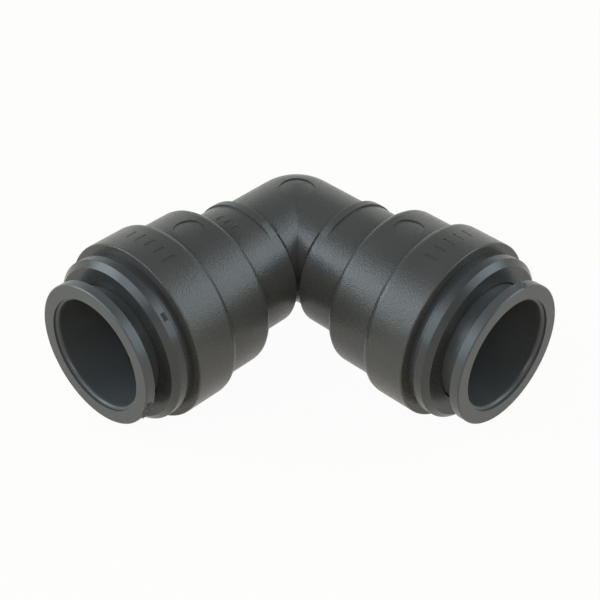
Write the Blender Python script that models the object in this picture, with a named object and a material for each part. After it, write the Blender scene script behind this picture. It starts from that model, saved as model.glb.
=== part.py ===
"""Push to connect elbow for 18 mm tube, built as its separate pieces.

The two ports meet at a right angle. The right port leaves along +X and the left port along -Y.
Lengths are in metres, +Z is up, and the fitting lies on the plane Z = 0 with its box centred over
the origin. Along a port, axial positions are counted from the point where the two port axes cross.
"""

import math
from typing import NamedTuple

import bmesh
import bpy
from mathutils import Matrix, Vector

# Tube and the fits around it
TUBE_DIAMETER = 0.0180
COLLET_BORE_CLEARANCE = 0.0001
SOCKET_CLEARANCE = 0.0002
SPACER_BORE_CLEARANCE = 0.0004
FIT_GAP = 0.0003
RUNNING_GAP = 0.0004

# Elbow body
TUBE_STOP_LIP = 0.0018
ELBOW_WALL = 0.0031
NECK_WALL = 0.0017
CROTCH_CLEARANCE = 0.0001
NECK_LENGTH = 0.0086
STOP_DEPTH = 0.0024
BAND_WIDTH = 0.0015
BAND_HEIGHT = 0.00035
HOUSING_WALL = 0.00215
HOUSING_SHOULDER_WALL = 0.0012
HOUSING_ROUNDING = 0.0012
CUP_WALL = 0.0020
CUP_STEP_WALL = 0.0009
CUP_ROUNDING = 0.0017
CUP_LENGTH = 0.0083
MOUTH_EDGE = 0.00025
MOUTH_CHAMFER = 0.0008

# Seal and spacer ring
SEAL_SECTION = 0.0027
SEAL_SQUEEZE = 0.0005
SPACER_THICKNESS = 0.0025
SPACER_LEAD_IN = 0.0008

# Collet, with its fingers
COLLET_WALL = 0.0013
COLLET_TRAVEL = 0.0028
RELEASE_GAP = 0.0003
LEFT_COLLET_INSET = 0.0006
FLANGE_LIP = 0.0016
FLANGE_THICKNESS = 0.0018
FLANGE_EDGE = 0.0002
LIP_STEP_WIDTH = 0.00015
LIP_STEP_DEPTH = 0.00012
LIP_ROUNDING = 0.0005
LIP_DEPTH = 0.0011
HEAD_NOSE = 0.0004
FINGER_COUNT = 8
FINGER_SLOT_WIDTH = 0.0010
FINGER_SLOT_LENGTH = 0.0060

# Retaining cap and the cam that closes the fingers
CAM_GAP = 0.00035
CAM_MARGIN = 0.00045
CAM_SLOPE = 0.3
CAM_LEAD = 0.0004
CAP_EDGE_WALL = 0.0007
COLLAR_LIP = 0.0011
COLLAR_GAP = 0.0014
COLLAR_LENGTH = 0.0016
COLLAR_EDGE = 0.0002
COLLAR_BEVEL = 0.00095
GROOVE_DEPTH = 0.0004

# Grab teeth
TOOTH_BITE = 0.00025
TOOTH_LENGTH = 0.00135
TOOTH_WIDTH = 0.0032
TOOTH_THICKNESS = 0.0006
TOOTH_EDGE_THICKNESS = 0.00015
TOOTH_LEAN = math.radians(25.0)
TOOTH_SETBACK = 0.0016

# Roundness of the turned shapes
QUARTER_STEPS = 9
ARC_STEPS = 3
SEAL_SIDES = 10
SMOOTH_ANGLE = math.radians(35.0)
BAND_START = math.radians(60.0)
SEGMENTS = 4 * QUARTER_STEPS

# Radii, from the tube outwards
TUBE_RADIUS = TUBE_DIAMETER / 2
WATERWAY_RADIUS = TUBE_RADIUS - TUBE_STOP_LIP
COLLET_BORE = TUBE_RADIUS + COLLET_BORE_CLEARANCE
COLLET_RADIUS = COLLET_BORE + COLLET_WALL
FLANGE_RADIUS = COLLET_RADIUS + FLANGE_LIP
SOCKET_RADIUS = TUBE_RADIUS + SOCKET_CLEARANCE
SEAL_INNER_RADIUS = TUBE_RADIUS - SEAL_SQUEEZE
SEAL_OUTER_RADIUS = SEAL_INNER_RADIUS + SEAL_SECTION
SEAL_BORE = SEAL_OUTER_RADIUS + FIT_GAP
HEAD_RADIUS = SEAL_BORE - FIT_GAP
CAM_MOUTH_RADIUS = HEAD_RADIUS + CAM_GAP + CAM_MARGIN
CAP_BORE = COLLET_RADIUS + RUNNING_GAP
CAP_SLEEVE_RADIUS = CAM_MOUTH_RADIUS + CAP_EDGE_WALL
COLLAR_RADIUS = CAP_SLEEVE_RADIUS + COLLAR_LIP
SHOULDER_RADIUS = COLLAR_RADIUS - GROOVE_DEPTH
CUP_BORE = CAP_SLEEVE_RADIUS + FIT_GAP
ELBOW_RADIUS = WATERWAY_RADIUS + ELBOW_WALL
NECK_RADIUS = SOCKET_RADIUS + NECK_WALL
HOUSING_RADIUS = SEAL_BORE + HOUSING_WALL
CUP_RADIUS = CUP_BORE + CUP_WALL

# Axial stations, from the elbow outwards
NECK_START = max(ELBOW_RADIUS, NECK_RADIUS) + CROTCH_CLEARANCE
TUBE_STOP = NECK_START + STOP_DEPTH
HOUSING_START = NECK_START + NECK_LENGTH
SEAL_SEAT = HOUSING_START + HOUSING_SHOULDER_WALL
SEAL_CENTRE = SEAL_SEAT + FIT_GAP + SEAL_SECTION / 2
SPACER_START = SEAL_CENTRE + SEAL_SECTION / 2 + FIT_GAP
SPACER_END = SPACER_START + SPACER_THICKNESS
COLLET_END_PUSHED = SPACER_END + FIT_GAP
COLLET_END = COLLET_END_PUSHED + COLLET_TRAVEL
CAP_START = COLLET_END - CAM_LEAD
CUP_SEAT = CAP_START - FIT_GAP
CUP_START = CUP_SEAT - CUP_STEP_WALL
MOUTH = CUP_START + CUP_LENGTH
SHOULDER_BACK = MOUTH + FIT_GAP - max(0.0, CUP_BORE + MOUTH_CHAMFER - SHOULDER_RADIUS)
COLLAR_BACK = MOUTH + COLLAR_GAP
COLLAR_FRONT = COLLAR_BACK + COLLAR_LENGTH
CAP_FRONT = COLLAR_FRONT + COLLAR_BEVEL
FLANGE_BACK = CAP_FRONT + RELEASE_GAP + COLLET_TRAVEL
FLANGE_FRONT = FLANGE_BACK + FLANGE_THICKNESS
FINGER_ROOT = COLLET_END + FINGER_SLOT_LENGTH + COLLET_WALL
HEAD_CONE_START = CAP_START + CAM_MARGIN / CAM_SLOPE
HEAD_CONE_END = HEAD_CONE_START + (HEAD_RADIUS - COLLET_RADIUS) / CAM_SLOPE
CAM_END = CAP_START + (CAM_MOUTH_RADIUS - CAP_BORE) / CAM_SLOPE


class Port(NamedTuple):
    """One port: its name, the turn of its axis about Z, and how far its collet rests pushed in."""

    name: str
    turn: float
    inset: float


class Place(NamedTuple):
    """Where a prism stands: its frame and its width along that frame's Y axis."""

    frame: Matrix
    width: float


PORTS = (Port("right", 0.0, 0.0), Port("left", math.radians(-90.0), LEFT_COLLET_INSET))


def clear_scene():
    """Remove every object of the scene."""
    for obj in list(bpy.data.objects):
        bpy.data.objects.remove(obj, do_unlink=True)


def moulding(name, colour, roughness, metallic=0.0):
    """Material with one colour, roughness and metallic value."""
    material = bpy.data.materials.new(name)
    material.use_nodes = True
    shader = material.node_tree.nodes["Principled BSDF"]
    shader.inputs["Base Color"].default_value = (*colour, 1.0)
    shader.inputs["Roughness"].default_value = roughness
    shader.inputs["Metallic"].default_value = metallic
    return material


def add_empty(name, parent=None, location=(0.0, 0.0, 0.0), turn=0.0):
    """Empty that carries pieces: the elbow's centre, or a port whose axis is its own X axis."""
    empty = bpy.data.objects.new(name, None)
    bpy.context.scene.collection.objects.link(empty)
    empty.parent = parent
    empty.location = location
    empty.rotation_euler = (0.0, 0.0, turn)
    return empty


def add_piece(name, shape, material, parent):
    """Turn a bmesh into a named object, shaded smooth between its sharp edges."""
    mesh = bpy.data.meshes.new(name)
    shape.to_mesh(mesh)
    shape.free()
    mesh.shade_smooth()
    mesh.set_sharp_from_angle(angle=SMOOTH_ANGLE)
    mesh.materials.append(material)
    obj = bpy.data.objects.new(name, mesh)
    bpy.context.scene.collection.objects.link(obj)
    obj.parent = parent
    return obj


def add_cutter(name, shape, target):
    """Subtract a helper shape from a piece, in the piece's own frame."""
    cutter = add_piece(name, shape, target.data.materials[0], target)
    cutter.hide_render = True
    cutter.display_type = "WIRE"
    cut = target.modifiers.new(name, "BOOLEAN")
    cut.operation = "DIFFERENCE"
    cut.solver = "EXACT"
    cut.object = cutter


def arc(axial, radius, size, start, end, steps=ARC_STEPS):
    """Points of a rounding about (axial, radius), with angles in degrees from the +axial direction."""
    angles = [math.radians(start + (end - start) * i / steps) for i in range(steps + 1)]
    return [(axial + size * math.cos(a), radius + size * math.sin(a)) for a in angles]


def turned(outline):
    """Spin a closed outline of (axial, radius) points about the X axis."""
    shape = bmesh.new()
    points = [shape.verts.new((axial, radius, 0.0)) for axial, radius in outline]
    edges = [shape.edges.new((points[i - 1], points[i])) for i in range(len(points))]
    bmesh.ops.spin(
        shape,
        geom=points + edges,
        cent=(0.0, 0.0, 0.0),
        axis=(1.0, 0.0, 0.0),
        angle=math.tau,
        steps=SEGMENTS,
        use_merge=True,
    )
    bmesh.ops.recalc_face_normals(shape, faces=shape.faces)
    return shape


def block(shape, corners, place):
    """Add one convex prism, with its (axial, radial) corners in the frame of its place."""
    half = place.width / 2
    sides = [
        [shape.verts.new(place.frame @ Vector((axial, y, radial))) for axial, radial in corners]
        for y in (-half, half)
    ]
    shape.faces.new(sides[0])
    shape.faces.new(reversed(sides[1]))
    for i in range(len(corners)):
        shape.faces.new((sides[0][i], sides[0][i - 1], sides[1][i - 1], sides[1][i]))


def body_outline():
    """Outline of one leg of the elbow, from the outside of its bend over the mouth to its waterway."""
    cup_rounding = min(CUP_ROUNDING, CUP_RADIUS - HOUSING_RADIUS)
    outside = [
        (NECK_START, ELBOW_RADIUS),
        (NECK_START, NECK_RADIUS),
        (NECK_START + BAND_WIDTH, NECK_RADIUS),
        (HOUSING_START, NECK_RADIUS),
        *arc(HOUSING_START + HOUSING_ROUNDING, HOUSING_RADIUS - HOUSING_ROUNDING, HOUSING_ROUNDING, 180, 90),
        (CUP_START, HOUSING_RADIUS),
        *arc(CUP_START + cup_rounding, CUP_RADIUS - cup_rounding, cup_rounding, 180, 90)[1:],
        (MOUTH - MOUTH_EDGE, CUP_RADIUS),
        (MOUTH, CUP_RADIUS - MOUTH_EDGE),
    ]
    inside = [
        (MOUTH, CUP_BORE + MOUTH_CHAMFER),
        (MOUTH - MOUTH_CHAMFER, CUP_BORE),
        (CUP_SEAT, CUP_BORE),
        (CUP_SEAT, SEAL_BORE),
        (SEAL_SEAT, SEAL_BORE),
        (SEAL_SEAT, SOCKET_RADIUS),
        (TUBE_STOP, SOCKET_RADIUS),
        (TUBE_STOP, WATERWAY_RADIUS),
    ]
    return outside + inside


def leg_point(port_index, axial, radius, angle):
    """Point on a leg, at an angle from the side that faces the other leg, up over the top."""
    towards_other_leg = radius * math.cos(angle)
    height = radius * math.sin(angle)
    if port_index == 0:
        return Vector((axial, -towards_other_leg, height))
    return Vector((towards_other_leg, -axial, height))


def ring_angles():
    """Angles of the points of one ring."""
    return [math.tau * i / SEGMENTS for i in range(SEGMENTS)]


def bend_ring(shape, port_index, radius):
    """Ring where a leg starts: on the mitre plane beside the other leg, and square on the outside."""
    return [
        shape.verts.new(leg_point(port_index, max(0.0, radius * math.cos(a)), radius, a))
        for a in ring_angles()
    ]


def skin(shape, first, second):
    """Faces between two rings, in the order of their angles."""
    count = len(first)
    return [
        shape.faces.new((first[i], first[(i + 1) % count], second[(i + 1) % count], second[i]))
        for i in range(count)
    ]


def raise_band(shape, faces):
    """Raise the band at the start of a neck, which leaves out the side that faces the other leg."""
    first = round(BAND_START / math.tau * SEGMENTS)
    raised = bmesh.ops.extrude_face_region(shape, geom=faces[first : SEGMENTS - first])
    scale = (NECK_RADIUS + BAND_HEIGHT) / NECK_RADIUS
    for vert in raised["geom"]:
        if isinstance(vert, bmesh.types.BMVert):
            along = Vector((1.0, 0.0, 0.0)) if vert.co.x > -vert.co.y else Vector((0.0, 1.0, 0.0))
            axial = along * vert.co.dot(along)
            vert.co = axial + (vert.co - axial) * scale
    bmesh.ops.delete(shape, geom=[f for f in faces[first : SEGMENTS - first] if f.is_valid], context="FACES")


def round_bend(shape, radius):
    """Quarter ball that joins the outsides of the two legs."""
    outer_half = [a for a in ring_angles() if math.cos(a) < 1e-9]
    columns = []
    for step in range(QUARTER_STEPS + 1):
        turn = Matrix.Rotation(math.radians(90.0) * step / QUARTER_STEPS, 3, "Z")
        columns.append([shape.verts.new(turn @ leg_point(0, 0.0, radius, a)) for a in outer_half])
    for left, right in zip(columns, columns[1:]):
        for i in range(len(outer_half) - 1):
            shape.faces.new((left[i], left[i + 1], right[i + 1], right[i]))


def add_elbow_body(material, parent):
    """One-piece moulded elbow: bend, necks, seal housings and cups, with the waterway through it."""
    shape = bmesh.new()
    outline = body_outline()
    band_edge = outline.index((NECK_START + BAND_WIDTH, NECK_RADIUS))
    for port_index in range(len(PORTS)):
        rings = [bend_ring(shape, port_index, ELBOW_RADIUS)]
        for axial, radius in outline:
            rings.append([shape.verts.new(leg_point(port_index, axial, radius, a)) for a in ring_angles()])
        rings.append(bend_ring(shape, port_index, WATERWAY_RADIUS))
        strips = [skin(shape, first, second) for first, second in zip(rings, rings[1:])]
        raise_band(shape, strips[band_edge])
    for radius in (ELBOW_RADIUS, WATERWAY_RADIUS):
        round_bend(shape, radius)
    bmesh.ops.remove_doubles(shape, verts=shape.verts, dist=1e-6)
    bmesh.ops.recalc_face_normals(shape, faces=shape.faces)
    add_piece("elbow_body", shape, material, parent)


def add_cap(port, material, parent):
    """Retaining cap: sleeve in the cup, bevelled collar in front of the mouth, and the cam inside."""
    outline = [
        (CAP_START, CAP_SLEEVE_RADIUS),
        (SHOULDER_BACK, CAP_SLEEVE_RADIUS),
        (SHOULDER_BACK, SHOULDER_RADIUS),
        (COLLAR_BACK, SHOULDER_RADIUS),
        (COLLAR_BACK, COLLAR_RADIUS - COLLAR_EDGE),
        (COLLAR_BACK + COLLAR_EDGE, COLLAR_RADIUS),
        (COLLAR_FRONT, COLLAR_RADIUS),
        (CAP_FRONT, COLLAR_RADIUS - COLLAR_BEVEL),
        (CAP_FRONT, CAP_BORE),
        (CAM_END, CAP_BORE),
        (CAP_START, CAM_MOUTH_RADIUS),
    ]
    add_piece(f"{port.name}_retaining_cap", turned(outline), material, parent)


def collet_outline(inset):
    """Outline of a collet: fingers with heads at the inner end, flange with a rounded lip in front."""
    outline = [
        (COLLET_END, COLLET_BORE),
        (COLLET_END, HEAD_RADIUS - HEAD_NOSE),
        (COLLET_END + HEAD_NOSE, HEAD_RADIUS),
        (HEAD_CONE_START, HEAD_RADIUS),
        (HEAD_CONE_END, COLLET_RADIUS),
        (FINGER_ROOT, COLLET_RADIUS),
        (FLANGE_BACK, COLLET_RADIUS),
        (FLANGE_BACK, FLANGE_RADIUS - FLANGE_EDGE),
        (FLANGE_BACK + FLANGE_EDGE, FLANGE_RADIUS),
        (FLANGE_FRONT - FLANGE_EDGE, FLANGE_RADIUS),
        (FLANGE_FRONT, FLANGE_RADIUS - FLANGE_EDGE),
        (FLANGE_FRONT, COLLET_BORE + LIP_ROUNDING + LIP_STEP_WIDTH),
    ]
    for step in range(ARC_STEPS + 1):
        quarter = math.radians(90.0) * step / ARC_STEPS
        depth = LIP_STEP_DEPTH + (LIP_DEPTH - LIP_STEP_DEPTH) * (1.0 - math.cos(quarter))
        outline.append((FLANGE_FRONT - depth, COLLET_BORE + LIP_ROUNDING * (1.0 - math.sin(quarter))))
    outline.append((FINGER_ROOT, COLLET_BORE))
    return [(axial - inset, radius) for axial, radius in outline]


def finger_turn(index, half_step=0.0):
    """Turn about the port's axis to a finger's middle, or half a step on to the slot after it."""
    return Matrix.Rotation(math.tau * (index + half_step) / FINGER_COUNT, 4, "X")


def tooth_frame(index, inset):
    """Frame of a tooth: origin at its tip, Z along its length outwards, leaning in at the tip."""
    tip = Vector((COLLET_END + TOOTH_SETBACK - inset, 0.0, TUBE_RADIUS - TOOTH_BITE))
    lean = Matrix.Rotation(TOOTH_LEAN, 4, "Y")
    return finger_turn(index) @ Matrix.Translation(tip) @ lean


def slot_cutter(inset):
    """Eight bars that part the fingers, open at the collet's inner end."""
    shape = bmesh.new()
    start = COLLET_END - FINGER_SLOT_WIDTH - inset
    end = COLLET_END + FINGER_SLOT_LENGTH - inset
    inner = COLLET_BORE - COLLET_WALL
    outer = HEAD_RADIUS + COLLET_WALL
    corners = [(start, inner), (start, outer), (end, outer), (end, inner)]
    for index in range(FINGER_COUNT):
        block(shape, corners, Place(finger_turn(index, 0.5), FINGER_SLOT_WIDTH))
    bmesh.ops.recalc_face_normals(shape, faces=shape.faces)
    return shape


def pocket_cutter(inset):
    """Eight pockets for the teeth, one in each finger's head, open to the bore."""
    shape = bmesh.new()
    reach = TOOTH_THICKNESS / 2 + FIT_GAP
    floor = TOOTH_LENGTH + FIT_GAP
    corners = [(-reach, -TOOTH_LENGTH), (-reach, floor), (reach, floor), (reach, -TOOTH_LENGTH)]
    for index in range(FINGER_COUNT):
        block(shape, corners, Place(tooth_frame(index, inset), TOOTH_WIDTH + 2 * FIT_GAP))
    bmesh.ops.recalc_face_normals(shape, faces=shape.faces)
    return shape


def add_collet(port, material, parent):
    """Release collet with split fingers and pockets for its teeth."""
    collet = add_piece(f"{port.name}_collet", turned(collet_outline(port.inset)), material, parent)
    add_cutter(f"{port.name}_finger_slots", slot_cutter(port.inset), collet)
    add_cutter(f"{port.name}_tooth_pockets", pocket_cutter(port.inset), collet)


def add_teeth(port, material, parent):
    """Steel teeth, ground to an edge that bites into the tube."""
    root = TOOTH_THICKNESS / 2
    edge = TOOTH_EDGE_THICKNESS / 2
    shank = TOOTH_THICKNESS
    half = [(edge, 0.0), (root, shank), (root, TOOTH_LENGTH)]
    corners = half + [(-axial, radial) for axial, radial in reversed(half)]
    for index in range(FINGER_COUNT):
        shape = bmesh.new()
        block(shape, corners, Place(tooth_frame(index, port.inset), TOOTH_WIDTH))
        bmesh.ops.recalc_face_normals(shape, faces=shape.faces)
        add_piece(f"{port.name}_grab_tooth_{index + 1}", shape, material, parent)


def add_seal(port, material, parent):
    """O-ring that seals on the tube."""
    size = SEAL_SECTION / 2
    outline = arc(SEAL_CENTRE, SEAL_INNER_RADIUS + size, size, 0, 360, SEAL_SIDES)[:-1]
    add_piece(f"{port.name}_o_ring", turned(outline), material, parent)


def add_spacer(port, material, parent):
    """Spacer ring that keeps the seal in its seat, with a lead-in for the tube."""
    bore = TUBE_RADIUS + SPACER_BORE_CLEARANCE
    outer = SEAL_BORE - FIT_GAP
    outline = [
        (SPACER_START, bore),
        (SPACER_START, outer),
        (SPACER_END, outer),
        (SPACER_END, bore + SPACER_LEAD_IN),
        (SPACER_END - SPACER_LEAD_IN, bore),
    ]
    add_piece(f"{port.name}_spacer_ring", turned(outline), material, parent)


def main():
    """Build the fitting, lying flat with its box centred over the origin."""
    clear_scene()
    body_black = moulding("textured_black_acetal", (0.040, 0.041, 0.043), 0.55)
    cap_black = moulding("smooth_black_acetal_cap", (0.036, 0.037, 0.039), 0.38)
    collet_black = moulding("smooth_black_acetal_collet", (0.036, 0.037, 0.038), 0.40)
    spacer_grey = moulding("grey_acetal_spacer", (0.110, 0.110, 0.112), 0.45)
    seal_rubber = moulding("black_nitrile_rubber", (0.012, 0.012, 0.013), 0.60)
    tooth_steel = moulding("stainless_steel", (0.560, 0.560, 0.545), 0.25, 1.0)

    centre_x = (FLANGE_FRONT - CUP_RADIUS) / 2
    centre_y = -(FLANGE_FRONT - LEFT_COLLET_INSET - CUP_RADIUS) / 2
    elbow = add_empty("elbow_centre", location=(-centre_x, -centre_y, CUP_RADIUS))
    add_elbow_body(body_black, elbow)
    for port in PORTS:
        axis = add_empty(f"{port.name}_port_axis", parent=elbow, turn=port.turn)
        add_cap(port, cap_black, axis)
        add_collet(port, collet_black, axis)
        add_teeth(port, tooth_steel, axis)
        add_seal(port, seal_rubber, axis)
        add_spacer(port, spacer_grey, axis)


main()
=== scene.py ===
"""Looks of a push to connect elbow for 18 mm tube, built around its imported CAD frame.

Lengths are in metres and +Z is up. The right port leaves along +X and the left port along -Y. Along a port,
axial positions are counted from the crossing of the two port axes. Round a leg of the elbow, angles start at
the side that faces the other leg and go up over the top. Round a ring on a port, they start at the top.
"""

import logging
import math
from dataclasses import dataclass
from enum import Enum
from functools import partial
from typing import Any, Callable, Sequence

import bmesh
import bpy
import numpy as np
from bpy.types import Material, Mesh, Node, NodeSocket, NodeTree
from mathutils import Matrix, Vector

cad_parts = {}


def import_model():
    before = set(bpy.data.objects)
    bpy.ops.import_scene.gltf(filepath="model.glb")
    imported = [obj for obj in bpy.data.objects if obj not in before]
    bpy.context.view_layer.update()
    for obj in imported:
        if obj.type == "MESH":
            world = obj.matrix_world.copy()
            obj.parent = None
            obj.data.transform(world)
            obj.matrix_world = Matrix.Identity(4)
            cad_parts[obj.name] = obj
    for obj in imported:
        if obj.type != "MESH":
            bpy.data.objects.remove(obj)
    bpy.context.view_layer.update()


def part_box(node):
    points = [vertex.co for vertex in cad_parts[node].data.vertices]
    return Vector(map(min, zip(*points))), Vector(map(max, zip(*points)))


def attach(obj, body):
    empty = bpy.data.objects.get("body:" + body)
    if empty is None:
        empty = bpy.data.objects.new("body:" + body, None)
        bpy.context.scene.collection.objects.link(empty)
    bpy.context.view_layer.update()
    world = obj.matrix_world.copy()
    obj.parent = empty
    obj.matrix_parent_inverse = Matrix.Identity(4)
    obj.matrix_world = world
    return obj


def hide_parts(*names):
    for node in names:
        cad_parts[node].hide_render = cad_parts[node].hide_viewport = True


LOG = logging.getLogger("push_fit_elbow")
FIXED_BODY = "fitting_body"

# Fineness of the meshes
TURN_STEPS = 160
ROUND_STEPS = 4
LIP_STEPS = 8
BEVEL_STEPS = 2
STUB_SUBDIVISIONS = 5

# Strip that keeps the shading flat beside a rounding, reach of the welding, and least angle of a sharp edge
HOLD = 0.00003
WELD = 0.000002
SHARP_ANGLE = math.radians(38.0)
NEAR_ZERO = 1e-9

# Profile of a round bevel, and the noise that roughens a torn gate
ROUND_PROFILE = 0.5
STUB_NOISE_DETAIL = 3.0
NOISE_MIDDLE = 0.5

# Turns in degrees
QUARTER_TURN = 90.0
HALF_TURN = 180.0
FULL_TURN = 360.0

# Sockets of a Mix node for colours, by number because its other kinds have sockets of the same names
MIX_FACTOR = 0
MIX_FIRST = 6
MIX_SECOND = 7
MIX_RESULT = 2

# A node tree's frame has the port's axis along Z and the top along X: this turns it to the port's own frame
TREE_TO_PORT = Matrix(((0, 0, 1, 0), (0, -1, 0, 0), (1, 0, 0, 0), (0, 0, 0, 1)))

Point = tuple[float, float]
Measure = float | np.ndarray


class Side(Enum):
    """The two ports, named as in the CAD model."""

    RIGHT = "right"
    LEFT = "left"


class Slot(Enum):
    """Names of the material slots that the pieces' labels carry."""

    BODY = "body_plastic"
    CAP = "cap_plastic"
    COLLET = "collet_plastic"
    SPACER = "spacer_plastic"
    SEAL = "seal_rubber"
    TOOTH = "tooth_steel"


def linear(code: str) -> tuple[float, float, float, float]:
    """Turn an sRGB hex colour into linear values.

    Args:
        code: colour as six hex digits after a hash.

    Returns:
        Red, green, blue and an alpha of 1.
    """
    channels = [int(code[i : i + 2], 16) / 255 for i in (1, 3, 5)]
    return (*[c / 12.92 if c <= 0.04045 else ((c + 0.055) / 1.055) ** 2.4 for c in channels], 1.0)


def fill(tree: NodeTree, node: Node, inputs: dict[Any, Any]) -> None:
    """Fill or link a node's inputs.

    Args:
        tree: node tree that holds the node.
        node: the node.
        inputs: values or sockets to link, by the input's name or number.
    """
    for key, value in inputs.items():
        if isinstance(value, NodeSocket):
            tree.links.new(value, node.inputs[key])
        else:
            node.inputs[key].default_value = value


def add_node(tree: NodeTree, kind: str, inputs: dict[Any, Any], **settings: Any) -> Node:
    """Add a node with its settings, and fill or link its inputs.

    Args:
        tree: node tree that gets the node.
        kind: the node's type.
        inputs: values or sockets to link, by the input's name or number.
        settings: the node's own properties.

    Returns:
        The new node.
    """
    node = tree.nodes.new(kind)
    for name, value in settings.items():
        setattr(node, name, value)
    fill(tree, node, inputs)
    return node


def start_material(name: str) -> tuple[Material, Callable[..., Node], NodeSocket]:
    """Start a material whose patterns lie in the fitting's own space.

    Args:
        name: the material's name.

    Returns:
        The material, the function that adds a node to it, and the socket of its Object coordinates.
    """
    material = bpy.data.materials.new(name)
    material.use_nodes = True
    add = partial(add_node, material.node_tree)
    return material, add, add("ShaderNodeTexCoord", {}).outputs["Object"]


def end_material(material: Material, surface: dict[str, Any]) -> Material:
    """Fill or link the sockets of a material's shader, and return the material."""
    fill(material.node_tree, material.node_tree.nodes["Principled BSDF"], surface)
    return material


@dataclass(frozen=True)
class MouldedPlastic:
    """Acetal as it leaves the mould: satin, with the grain of the mould's own surface.

    Spark-eroded steel gives a fine even grain that breaks up the sheen, and polished steel a smoother skin
    with long soft waves. The grain is drawn coarser than the real one, which is too fine to show.
    """

    name: str
    colour: str
    deep_colour: str
    roughness: float
    grain_size: float
    grain_height: float
    wave_size: float
    wave_height: float
    grain_detail: float = 1.0
    wave_detail: float = 0.0
    ior: float = 1.48
    mottle_size: float = 0.006
    gloss_size: float = 0.0025
    gloss_swing: float = 0.05

    def material(self) -> Material:
        """Build the material.

        Returns:
            Material with mottled colour, uneven gloss, grain and waves.
        """
        material, add, place = start_material(self.name)
        mottle = add("ShaderNodeTexNoise", {"Vector": place, "Scale": 1 / self.mottle_size})
        tint = add(
            "ShaderNodeMix",
            {
                MIX_FACTOR: mottle.outputs["Fac"],
                MIX_FIRST: linear(self.deep_colour),
                MIX_SECOND: linear(self.colour),
            },
            data_type="RGBA",
        )
        gloss = add("ShaderNodeTexNoise", {"Vector": place, "Scale": 1 / self.gloss_size})
        uneven = add(
            "ShaderNodeMapRange",
            {
                "Value": gloss.outputs["Fac"],
                "To Min": self.roughness - self.gloss_swing,
                "To Max": self.roughness + self.gloss_swing,
            },
        )
        wave = add(
            "ShaderNodeTexNoise",
            {"Vector": place, "Scale": 1 / self.wave_size, "Detail": self.wave_detail},
        )
        swell = add("ShaderNodeBump", {"Height": wave.outputs["Fac"], "Distance": self.wave_height})
        grain = add(
            "ShaderNodeTexNoise",
            {"Vector": place, "Scale": 1 / self.grain_size, "Detail": self.grain_detail},
        )
        skin = add(
            "ShaderNodeBump",
            {
                "Height": grain.outputs["Fac"],
                "Distance": self.grain_height,
                "Normal": swell.outputs["Normal"],
            },
        )
        surface = {
            "Base Color": tint.outputs[MIX_RESULT],
            "Roughness": uneven.outputs["Result"],
            "IOR": self.ior,
            "Normal": skin.outputs["Normal"],
        }
        return end_material(material, surface)


@dataclass(frozen=True)
class NitrileRubber:
    """Moulded nitrile rubber: deep black and dull, with a faint grey bloom and a fine skin."""

    name: str = "moulded_nitrile_rubber"
    colour: str = "#151516"
    bloom: str = "#232324"
    roughness: float = 0.62
    bloom_size: float = 0.0018
    skin_size: float = 0.00025
    skin_height: float = 0.000004

    def material(self) -> Material:
        """Build the material.

        Returns:
            Material with a patchy bloom and a fine bump.
        """
        material, add, place = start_material(self.name)
        patch = add("ShaderNodeTexNoise", {"Vector": place, "Scale": 1 / self.bloom_size})
        tint = add(
            "ShaderNodeMix",
            {
                MIX_FACTOR: patch.outputs["Fac"],
                MIX_FIRST: linear(self.colour),
                MIX_SECOND: linear(self.bloom),
            },
            data_type="RGBA",
        )
        grain = add("ShaderNodeTexNoise", {"Vector": place, "Scale": 1 / self.skin_size})
        skin = add("ShaderNodeBump", {"Height": grain.outputs["Fac"], "Distance": self.skin_height})
        surface = {
            "Base Color": tint.outputs[MIX_RESULT],
            "Roughness": self.roughness,
            "Normal": skin.outputs["Normal"],
        }
        return end_material(material, surface)


@dataclass(frozen=True)
class StampedSteel:
    """Stainless strip, rolled and stamped: bright, with fine rolling lines along the strip."""

    name: str = "stamped_stainless_steel"
    colour: str = "#c4c3be"
    roughness: float = 0.26
    gloss_swing: float = 0.08
    line_size: float = 0.00012
    line_stretch: float = 12.0

    def material(self) -> Material:
        """Build the material.

        Returns:
            Metal whose gloss varies along the rolling lines.
        """
        material, add, place = start_material(self.name)
        drawn = add("ShaderNodeMapping", {"Vector": place, "Scale": (1.0, 1.0, self.line_stretch)})
        lines = add(
            "ShaderNodeTexNoise",
            {"Vector": drawn.outputs["Vector"], "Scale": 1 / (self.line_size * self.line_stretch)},
        )
        uneven = add(
            "ShaderNodeMapRange",
            {
                "Value": lines.outputs["Fac"],
                "To Min": self.roughness - self.gloss_swing,
                "To Max": self.roughness + self.gloss_swing,
            },
        )
        surface = {
            "Base Color": linear(self.colour),
            "Metallic": 1.0,
            "Roughness": uneven.outputs["Result"],
        }
        return end_material(material, surface)


# The body comes from a spark-eroded mould: an even matte grain that turns the sheen to a soft speckled band
BODY_ACETAL = MouldedPlastic(
    name="spark_eroded_black_acetal",
    colour="#454441",
    deep_colour="#3c3b38",
    roughness=0.27,
    grain_size=0.00026,
    grain_height=0.000044,
    wave_size=0.004,
    wave_height=0.00001,
)

# Caps come from a polished mould: smoother than the body, with a clearer edge to each reflection
CAP_ACETAL = MouldedPlastic(
    name="smooth_black_acetal_cap",
    colour="#3a3b3a",
    deep_colour="#333433",
    roughness=0.27,
    grain_size=0.00050,
    grain_height=0.000004,
    wave_size=0.0022,
    wave_height=0.00002,
)

# Collets are satin, a little greyer than the caps, with faint flow marks
COLLET_ACETAL = MouldedPlastic(
    name="satin_black_acetal_collet",
    colour="#484a4a",
    deep_colour="#404242",
    roughness=0.30,
    grain_size=0.00040,
    grain_height=0.000006,
    wave_size=0.003,
    wave_height=0.00001,
)

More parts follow.
